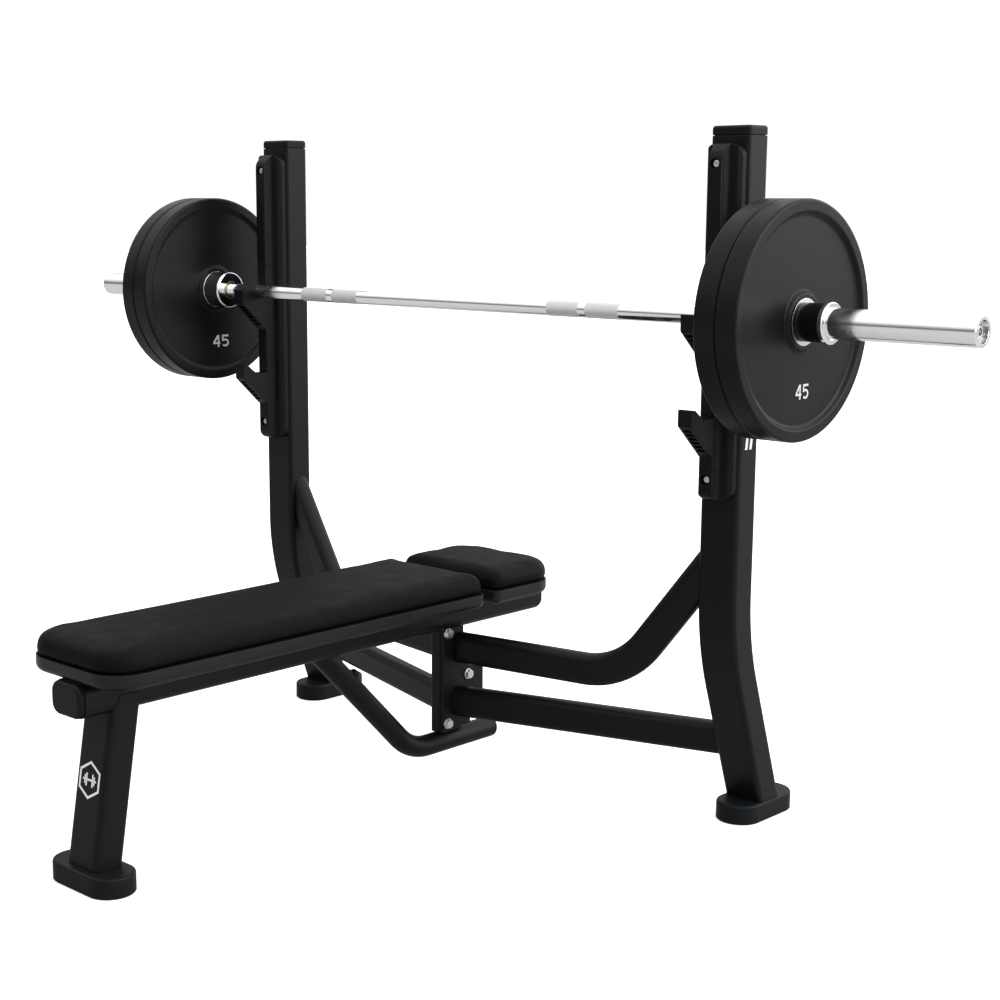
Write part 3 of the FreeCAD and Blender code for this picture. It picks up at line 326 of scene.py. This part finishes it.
# ------------------------------------------------------------------ upholstery
def swell(name, node, tray, cap, shrink, crown):
    """A cushion blown up inside its CAD solid, its cover drawn over the board edge down to the tray rim."""
    src = nodes[node]
    ob = src.copy()
    ob.data = src.data.copy()
    ob.name = ob.data.name = name
    for k in list(ob.keys()):
        if k.startswith("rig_"):
            del ob[k]
    ob.parent = None
    coll.objects.link(ob)
    lo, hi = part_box(node)
    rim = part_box(tray)[1].z + 0.0004
    mid = (lo + hi) / 2
    size = hi - lo
    bm = bmesh.new()
    bm.from_mesh(ob.data)
    for v in bm.verts:
        v.co.x = mid.x + (v.co.x - mid.x) * (1 - 2 * shrink / size.x)
        v.co.y = mid.y + (v.co.y - mid.y) * (1 - 2 * shrink / size.y)
        v.co.z = rim + (v.co.z - lo.z) * (hi.z - 0.002 - rim) / size.z
    lo.z = rim
    size = hi - lo
    bm.to_mesh(ob.data)
    bm.free()
    bpy.context.view_layer.objects.active = ob
    for o in bpy.context.selected_objects:
        o.select_set(False)
    ob.select_set(True)
    rm = ob.modifiers.new("remesh", "REMESH")
    rm.mode = "VOXEL"
    rm.voxel_size = 0.005
    bpy.ops.object.modifier_apply(modifier=rm.name)
    rest = [v.co.copy() for v in ob.data.vertices]
    pin = ob.vertex_groups.new(name="held")
    pin.add([v.index for v in ob.data.vertices if v.co.z < lo.z + 0.007], 1.0, "REPLACE")
    cl = ob.modifiers.new("cloth", "CLOTH")
    st = cl.settings
    st.use_pressure = True
    st.uniform_pressure_force = 4.0
    st.effector_weights.gravity = 0.0
    st.vertex_group_mass = "held"
    st.quality = 4
    st.mass = 0.3
    st.tension_stiffness = 15
    st.compression_stiffness = 15
    st.shear_stiffness = 8
    st.bending_stiffness = 1.2
    cl.collision_settings.use_collision = False
    cl.point_cache.frame_start = 1
    cl.point_cache.frame_end = 20
    sc = bpy.context.scene
    for f in range(1, 21):
        sc.frame_set(f)
    dg = bpy.context.evaluated_depsgraph_get()
    moved = [v.co.copy() for v in ob.evaluated_get(dg).data.vertices]
    ob.modifiers.remove(cl)
    sc.frame_set(1)
    for v, a, b in zip(ob.data.vertices, rest, moved):
        d = b - a
        if d.length > cap:
            d = d * (cap / d.length)
        v.co = a + d
    # soft crown over the top, and the sides drawn in a little towards the seam at the board
    for v in ob.data.vertices:
        t = (v.co.z - lo.z) / size.z
        fx = min(1.0, max(0.0, 1 - abs(v.co.x - mid.x) / (size.x / 2)))
        fy = min(1.0, max(0.0, min(v.co.y - lo.y, hi.y - v.co.y) / (size.x / 2)))
        if t > 0.6:
            v.co.z += crown * (math.sin(min(fx, 1) * math.pi / 2) * math.sin(min(fy, 1) * math.pi / 2)) * (t - 0.6) / 0.4
        tuck = max(0.0, 1 - abs(t - 0.07) / 0.07)
        v.co.x -= 0.0016 * tuck * (1 if v.co.x > mid.x else -1) * (1 if fx < 0.12 else 0)
        v.co.z = max(v.co.z, lo.z)
    top = hi.z + 0.0035
    for v in ob.data.vertices:
        v.co.z = min(v.co.z, top)
    sm = ob.modifiers.new("smooth", "SMOOTH")
    sm.factor = 0.5
    sm.iterations = 14
    bpy.ops.object.modifier_apply(modifier=sm.name)
    sub = ob.modifiers.new("sub", "SUBSURF")
    sub.levels = sub.render_levels = 1
    bpy.ops.object.modifier_apply(modifier=sub.name)
    for p in ob.data.polygons:
        p.use_smooth = True
    ob.data.materials.clear()
    ob.data.materials.append(M["cushion_cover"])
    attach(ob, "frame")
    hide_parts(node)
    ob.select_set(False)
    return ob


main_pad = swell("main_pad_upholstery", "main_pad_cushion", "main_pad_tray", 0.0028, -0.0012, 0.0025)
head_pad = swell("head_pad_upholstery", "head_pad_cushion", "head_pad_tray", 0.0018, -0.0012, 0.0030)


# ------------------------------------------------------------------ raised numerals and painted marks
def thick_mesh(name, outlines, depth, at, right, up, mat, body):
    """Flat shapes, each a list of (u, v) corners, raised by depth along right x up."""
    right, up = Vector(right).normalized(), Vector(up).normalized()
    out = right.cross(up)
    bm = bmesh.new()
    for pts in outlines:
        vs = [bm.verts.new(Vector(at) + right * u + up * v) for u, v in pts]
        bm.faces.new(vs)
    bm.normal_update()
    for f in bm.faces:
        if f.normal.dot(out) < 0:
            f.normal_flip()
    ex = bmesh.ops.extrude_face_region(bm, geom=list(bm.faces))
    for v in [g for g in ex["geom"] if isinstance(g, bmesh.types.BMVert)]:
        v.co += out * depth
    bmesh.ops.recalc_face_normals(bm, faces=list(bm.faces))
    me = bpy.data.meshes.new(name)
    bm.to_mesh(me)
    bm.free()
    me.materials.append(M[mat])
    ob = bpy.data.objects.new(name, me)
    coll.objects.link(ob)
    bv = ob.modifiers.new("bevel", "BEVEL")
    bv.width = depth * 0.35
    bv.segments = 2
    bv.limit_method = "ANGLE"
    bpy.context.view_layer.objects.active = ob
    ob.select_set(True)
    bpy.ops.object.modifier_apply(modifier=bv.name)
    ob.select_set(False)
    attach(ob, body)
    return ob


def stroke(points, w):
    """A line of even width through points, as one quad per run with square joints."""
    quads = []
    for (x0, y0), (x1, y1) in zip(points, points[1:]):
        dx, dy = x1 - x0, y1 - y0
        n = math.hypot(dx, dy)
        dx, dy = dx / n, dy / n
        nx, ny = -dy * w / 2, dx * w / 2
        quads.append([(x0 + nx, y0 + ny), (x0 - nx, y0 - ny), (x1 - nx, y1 - ny), (x1 + nx, y1 + ny)])
    return quads


def ribbon(points, w, closed=False):
    """One band of even width along points, as quads sharing mitred ends."""
    n = len(points)
    sides = []
    for i, p in enumerate(points):
        a = points[i - 1] if (i or closed) else None
        b = points[(i + 1) % n] if (i < n - 1 or closed) else None
        if a is None:
            a = (2 * p[0] - b[0], 2 * p[1] - b[1])
        if b is None:
            b = (2 * p[0] - a[0], 2 * p[1] - a[1])
        d1, d2 = Vector((p[0] - a[0], p[1] - a[1])).normalized(), Vector((b[0] - p[0], b[1] - p[1])).normalized()
        t = (d1 + d2).normalized()
        k = w / 2 / max(0.35, t.dot(d1))
        sides.append(((p[0] - t.y * k, p[1] + t.x * k), (p[0] + t.y * k, p[1] - t.x * k)))
    quads = []
    for i in range(n if closed else n - 1):
        j = (i + 1) % n
        quads.append([sides[i][0], sides[i][1], sides[j][1], sides[j][0]])
    return quads


def numerals(h, w, wide):
    """The figures 4 and 5, h tall and wide across both, strokes w wide, centred."""
    gap = wide * 0.12
    fw = (wide - gap) / 2
    out = []
    x0 = -wide / 2
    stem = x0 + fw * 0.66
    bar = -h * 0.24
    out.append([(stem, -h / 2), (stem + w, -h / 2), (stem + w, h / 2), (stem, h / 2)])
    out.append([(stem, h / 2), (stem - w * 0.25, h / 2), (x0, bar + w), (x0, bar + w * 0.9), (x0 + w * 1.1, bar + w * 0.9), (stem, h / 2 - w * 1.5)])
    out.append([(x0, bar), (stem, bar), (stem, bar + w * 0.9), (x0, bar + w * 0.9)])
    out.append([(stem + w, bar), (x0 + fw, bar), (x0 + fw, bar + w * 0.9), (stem + w, bar + w * 0.9)])
    x0 = gap / 2
    top = h / 2 - w / 2
    out.append([(x0 + w, top - w / 2), (x0 + fw * 0.93, top - w / 2), (x0 + fw * 0.93, top + w / 2), (x0 + w, top + w / 2)])
    a0 = 138
    cx, cy, rx, ry = x0 + fw * 0.47, -h * 0.165, fw * 0.53 - w / 2, h * 0.335 - w / 2
    arc = [(cx + rx * math.cos(math.radians(t)), cy + ry * math.sin(math.radians(t))) for t in range(a0, -150, -12)]
    out += ribbon(arc, w)
    jx = arc[0][0] - w * 0.2
    out.append([(jx - w * 0.5, arc[0][1] - w * 0.3), (jx + w * 0.45, arc[0][1] - w * 0.1), (x0 + w, h / 2), (x0 + w * 0.12, h / 2)])
    return out


for side, h, w, wide in (("right", 0.0245, 0.0036, 0.0375), ("left", 0.0262, 0.0042, 0.0440)):
    node = "right_outer_plate" if side == "right" else "left_inner_plate"
    lo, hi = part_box(node)
    x = hi.x - 0.0075 - 0.0002
    thick_mesh("numerals_" + side, numerals(h, w, wide), 0.0014, (x, BAR_Y + (0.0090 if side == "right" else 0.0135), BAR_Z - 0.1142), (0, 1, 0), (0, 0, 1),
               "numeral_paint", node)

scene = bpy.context.scene

# plain six-sided badge with a barbell sign on the front leg
lo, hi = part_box("front_leg")
legt = math.atan2(0.045, 0.2627)
up = (0, math.sin(legt), math.cos(legt))
zc = 0.1825
yc = lo.y + (zc - lo.z) * math.tan(legt) - 0.0004
hexa = [(0.030 * math.cos(math.radians(a)), 0.030 * math.sin(math.radians(a))) for a in range(30, 390, 60)]
badge = ribbon(hexa, 0.0042, closed=True)
badge += [[(-0.018, -0.0018), (0.018, -0.0018), (0.018, 0.0018), (-0.018, 0.0018)]]
for s in (-1, 1):
    for a, b, hh in ((0.0065, 0.0100, 0.011), (0.0112, 0.0142, 0.0075)):
        badge.append([(s * a, -hh), (s * b, -hh), (s * b, hh), (s * a, hh)])
thick_mesh("leg_badge", badge, 0.0005, (0, yc, zc), (1, 0, 0), up, "badge_paint", "frame")

# two short bars on the outer side of the right upright
lo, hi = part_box("right_upright")
bars = []
for k in range(2):
    y0 = -0.012 + k * 0.013
    bars.append([(y0, -0.012), (y0 + 0.007, -0.012), (y0 + 0.010, 0.012), (y0 + 0.003, 0.012)])
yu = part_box("right_upright_cap")
thick_mesh("upright_mark", bars, 0.0004, (hi.x - 0.0001, (yu[0].y + yu[1].y) / 2, 0.713), (0, 1, 0), (0, 0, 1), "badge_paint", "frame")

# ------------------------------------------------------------------ floor, light and camera
bpy.ops.mesh.primitive_plane_add(size=60, location=(0, 0, -0.0005))
floor = bpy.context.object
floor.name = "floor"
fm = Mat("floor_white")
seen = fm.n("ShaderNodeLightPath").outputs["Is Camera Ray"]
pale = fm.mix(fm.noise(0.4, 2), (0.88, 0.88, 0.88), (0.90, 0.90, 0.90))
fm.set(Base_Color=fm.mix(seen, (0.36, 0.36, 0.36), pale), Roughness=0.9, Specular_IOR_Level=0.0)
fm.set(Emission_Color=(1, 1, 1))
fm.link(fm.remap(seen, 0.0, 1.0, 0.06, 0.44), fm.p.inputs["Emission Strength"])
floor.data.materials.append(fm.m)

# white room: bright behind and to the right, softer in front and to the left
world = bpy.data.worlds.new("studio")
scene.world = world
world.use_nodes = True
wt = world.node_tree
wt.nodes.clear()


def wn(kind, **props):
    node = wt.nodes.new(kind)
    for k, v in props.items():
        setattr(node, k, v)
    return node


tc = wn("ShaderNodeTexCoord")
dot = wn("ShaderNodeVectorMath", operation="DOT_PRODUCT")
dot.inputs[1].default_value = Vector((0.74, 0.62, 0.26)).normalized()
wt.links.new(tc.outputs["Generated"], dot.inputs[0])
ramp = wn("ShaderNodeMapRange")
for i, x in enumerate((-0.05, 0.85, 0.20, 2.2)):
    ramp.inputs[i + 1].default_value = x
wt.links.new(dot.outputs["Value"], ramp.inputs[0])
sky = wn("ShaderNodeSeparateXYZ")
wt.links.new(tc.outputs["Generated"], sky.inputs[0])
zen = wn("ShaderNodeMapRange")
for i, x in enumerate((0.07, 0.50, 0.0, 1.25)):
    zen.inputs[i + 1].default_value = x
wt.links.new(sky.outputs[2], zen.inputs[0])
top = wn("ShaderNodeMath", operation="MAXIMUM")
wt.links.new(ramp.outputs[0], top.inputs[0])
wt.links.new(zen.outputs[0], top.inputs[1])
soft = wn("ShaderNodeBackground")
soft.inputs[0].default_value = (1, 1, 1, 1)
wt.links.new(top.outputs[0], soft.inputs[1])
plain = wn("ShaderNodeBackground")
plain.inputs[0].default_value = (1, 1, 1, 1)
plain.inputs[1].default_value = 1.05
path = wn("ShaderNodeLightPath")
pick = wn("ShaderNodeMixShader")
wt.links.new(path.outputs["Is Camera Ray"], pick.inputs[0])
wt.links.new(soft.outputs[0], pick.inputs[1])
wt.links.new(plain.outputs[0], pick.inputs[2])
wo = wn("ShaderNodeOutputWorld")
wt.links.new(pick.outputs[0], wo.inputs[0])


def area(name, loc, target, size, power, size_y=None):
    d = bpy.data.lights.new(name, "AREA")
    d.energy = power
    d.size = size
    if size_y:
        d.shape = "RECTANGLE"
        d.size_y = size_y
    o = bpy.data.objects.new(name, d)
    coll.objects.link(o)
    o.location = loc
    o.rotation_euler = (Vector(target) - Vector(loc)).to_track_quat("-Z", "Y").to_euler()
    return o


area("key_right", (4.4, 2.2, 2.4), (0, 0, 0.5), 2.4, 95, 2.6)
sun = bpy.data.lights.new("overhead", "SUN")
sun.energy = 0.7
sun.angle = math.radians(55)
so = bpy.data.objects.new("overhead", sun)
coll.objects.link(so)
so.rotation_euler = (math.radians(8), math.radians(10), 0)

cam = bpy.data.cameras.new("camera")
co = bpy.data.objects.new("camera", cam)
coll.objects.link(co)
co.location = (2.3669, -2.18035, 1.1315)
co.rotation_euler = Euler((math.radians(90 - 10.95), 0, math.radians(44.48)), "XYZ")
cam.sensor_width = 36
cam.lens = 63.81
cam.shift_x = 0.0766
cam.shift_y = 0.0408
cam.clip_end = 100
scene.camera = co
scene.view_settings.view_transform = "Standard"
scene.view_settings.exposure = 0.0
